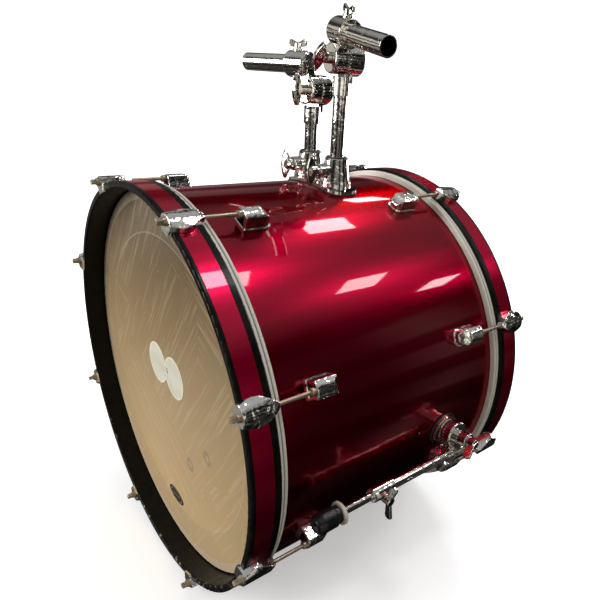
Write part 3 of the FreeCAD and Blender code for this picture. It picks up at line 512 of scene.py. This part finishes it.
# The distances from the origin between which the floor's glow rises, and its strength at each.
FLOOR_GLOW = (0.20, 0.95, 0.48, 1.2)
CAMERA_LENS = 32.56
CAMERA_SHIFT = (-0.0893, 0.0328)
CAMERA_PLACE = (0.6808, -0.4599, 0.4330 + AXIS_HEIGHT)
CAMERA_AIM = (-0.68165, 0.60708, -0.40841)
CAMERA_ROLL = math.radians(4.93)
PANEL_HEIGHT = 3.0
PANEL_SIDE = 0.42
PANEL_POWER = 11
PANEL_PLACES = ((-2.1, 2.9), (-0.68, 1.9), (1.55, 2.3), (2.35, 3.65), (0.64, 0.95))
# Name, place, side and power of each soft light, which is aimed at the drum's middle.
FILLS = (("fill_front", (-1.4, -3.2, 1.3), 1.8, 96), ("fill_back", (-0.3, 3.6, 0.9), 1.6, 60))
BACKDROP = 1.15
WARMTH = (1.0, 0.95, 0.86)

# Grey steps of (position, grey): up from straight below, and round from the -X side by way of -Y.
WALL_SHADES = (
    (0.0, 0.08), (0.10, 0.09), (0.17, 0.10), (0.19, 0.50), (0.26, 0.55), (0.28, 0.08), (0.34, 0.10),
    (0.355, 0.70), (0.41, 0.55), (0.425, 0.10), (0.47, 0.14), (0.485, 1.1), (0.54, 1.2), (0.555, 0.15),
    (0.60, 0.2), (0.615, 1.3), (0.68, 1.1), (0.70, 0.10), (0.78, 0.05))
CEILING_SHADES = ((0.0, 0.0), (0.76, 0.0), (0.83, 0.32), (0.90, 0.38), (1.0, 0.30))
PANEL_SHADES = (
    (0.0, 0.1), (0.04, 0.5), (0.10, 0.6), (0.12, 0.1), (0.19, 0.15), (0.21, 1.1), (0.28, 1.0),
    (0.30, 0.08), (0.37, 0.15), (0.39, 1.2), (0.45, 1.1), (0.48, 0.08), (0.505, 0.08), (0.515, 1.0),
    (0.55, 0.9), (0.565, 0.04), (0.61, 0.04), (0.63, 0.35), (0.65, 0.03), (0.80, 0.04), (0.84, 0.15),
    (0.87, 0.04), (0.95, 0.35), (1.0, 0.1))


def build_floor():
    """Pale floor that glows more with distance, so that it runs into the backdrop. Its weaker glow near the
    drum paints shade all round it and lets the drum's cast shadow show.
    """
    mesh = bpy.data.meshes.new("floor")
    corners = [(x * FLOOR_HALF, y * FLOOR_HALF, 0) for x, y in ((-1, -1), (1, -1), (1, 1), (-1, 1))]
    mesh.from_pydata(corners, [], [(0, 1, 2, 3)])
    floor = bpy.data.objects.new("floor", mesh)
    bpy.context.scene.collection.objects.link(floor)
    look = Look("floor_pale", Roughness=0.8, Specular_IOR_Level=0.1)
    pale = look.blend(look.noise(3, 2), (0.86, 0.86, 0.86), (0.88, 0.88, 0.88))
    look.paint(pale)
    look.set("Emission Color", pale)
    x, y, _ = look.axes()
    # Painted shade: less glow close to the drum, rising to full glow further out.
    look.set("Emission Strength", look.ramp(look.distance(x, y), *FLOOR_GLOW))
    mesh.materials.append(look.material)
    floor.visible_glossy = False
    floor.visible_diffuse = False


def build_camera():
    """Camera on the right of the batter side, above the shell, rolled a little."""
    data = bpy.data.cameras.new("camera")
    data.lens = CAMERA_LENS
    data.sensor_width = 36.0
    data.shift_x, data.shift_y = CAMERA_SHIFT
    data.clip_end = 60
    camera = bpy.data.objects.new("camera", data)
    bpy.context.scene.collection.objects.link(camera)
    camera.location = CAMERA_PLACE
    camera.rotation_mode = "QUATERNION"
    roll = Quaternion((0, 0, 1), CAMERA_ROLL)
    camera.rotation_quaternion = Vector(CAMERA_AIM).to_track_quat("-Z", "Y") @ roll
    bpy.context.scene.camera = camera


def area_light(name, place, target, side, power):
    data = bpy.data.lights.new(name, "AREA")
    data.shape = "RECTANGLE"
    data.size = side
    data.size_y = side
    data.energy = power
    light = bpy.data.objects.new(name, data)
    bpy.context.scene.collection.objects.link(light)
    light.location = place
    light.rotation_mode = "QUATERNION"
    light.rotation_quaternion = (Vector(target) - Vector(place)).to_track_quat("-Z", "Y")


def build_light():
    """Ceiling panels that leave the long white marks on the shell, and a soft fill in front and behind."""
    for number, (x, y) in enumerate(PANEL_PLACES):
        area_light("ceiling_panel_%d" % number, (x, y, PANEL_HEIGHT), (x, y, 0), PANEL_SIDE, PANEL_POWER)
    for name, place, side, power in FILLS:
        area_light(name, place, (0, 0, AXIS_HEIGHT), side, power)
    bpy.context.scene.view_settings.view_transform = "Standard"


def grey_ramp(sky, source, shades):
    """Grey steps of (position, grey) along a source that runs from 0 to 1."""
    node = sky.add("ShaderNodeValToRGB")
    sky.feed(node.inputs["Fac"], source)
    steps = node.color_ramp.elements
    steps[0].position = shades[0][0]
    steps[1].position = shades[-1][0]
    for position, grey in shades[1:-1]:
        steps.new(position)
    for step, (position, grey) in zip(steps, shades):
        step.color = (grey, grey, grey, 1)
    return node.outputs[0]


def build_sky():
    """Bright panels and dark gaps for the chrome to reflect, and a plain pale backdrop for the camera."""
    world = bpy.data.worlds.new("studio")
    bpy.context.scene.world = world
    world.use_nodes = True
    sky = Nodes(world.node_tree)
    sky.tree.nodes.clear()
    x, y, z = sky.split(sky.add("ShaderNodeTexCoord").outputs["Generated"])
    rise = sky.ramp(z, -1, 1)
    turn = sky.ramp(sky.math("ARCTAN2", y, x), -math.pi, math.pi)
    panels = grey_ramp(sky, turn, PANEL_SHADES)
    room = sky.blend(1.0, grey_ramp(sky, rise, WALL_SHADES), panels, "MULTIPLY")
    room = sky.blend(1.0, room, WARMTH, "MULTIPLY")
    room = sky.blend(1.0, room, grey_ramp(sky, rise, CEILING_SHADES), "ADD")
    studio = sky.add("ShaderNodeBackground")
    sky.feed(studio.inputs["Color"], room)
    pale = sky.add("ShaderNodeBackground")
    pale.inputs["Color"].default_value = (1, 1, 1, 1)
    pale.inputs["Strength"].default_value = BACKDROP
    chooser = sky.add("ShaderNodeMixShader")
    sky.feed(chooser.inputs[0], sky.add("ShaderNodeLightPath").outputs["Is Camera Ray"])
    sky.feed(chooser.inputs[1], studio.outputs[0])
    sky.feed(chooser.inputs[2], pale.outputs[0])
    sky.feed(sky.add("ShaderNodeOutputWorld").inputs[0], chooser.outputs[0])


build_floor()
build_camera()
build_light()
build_sky()
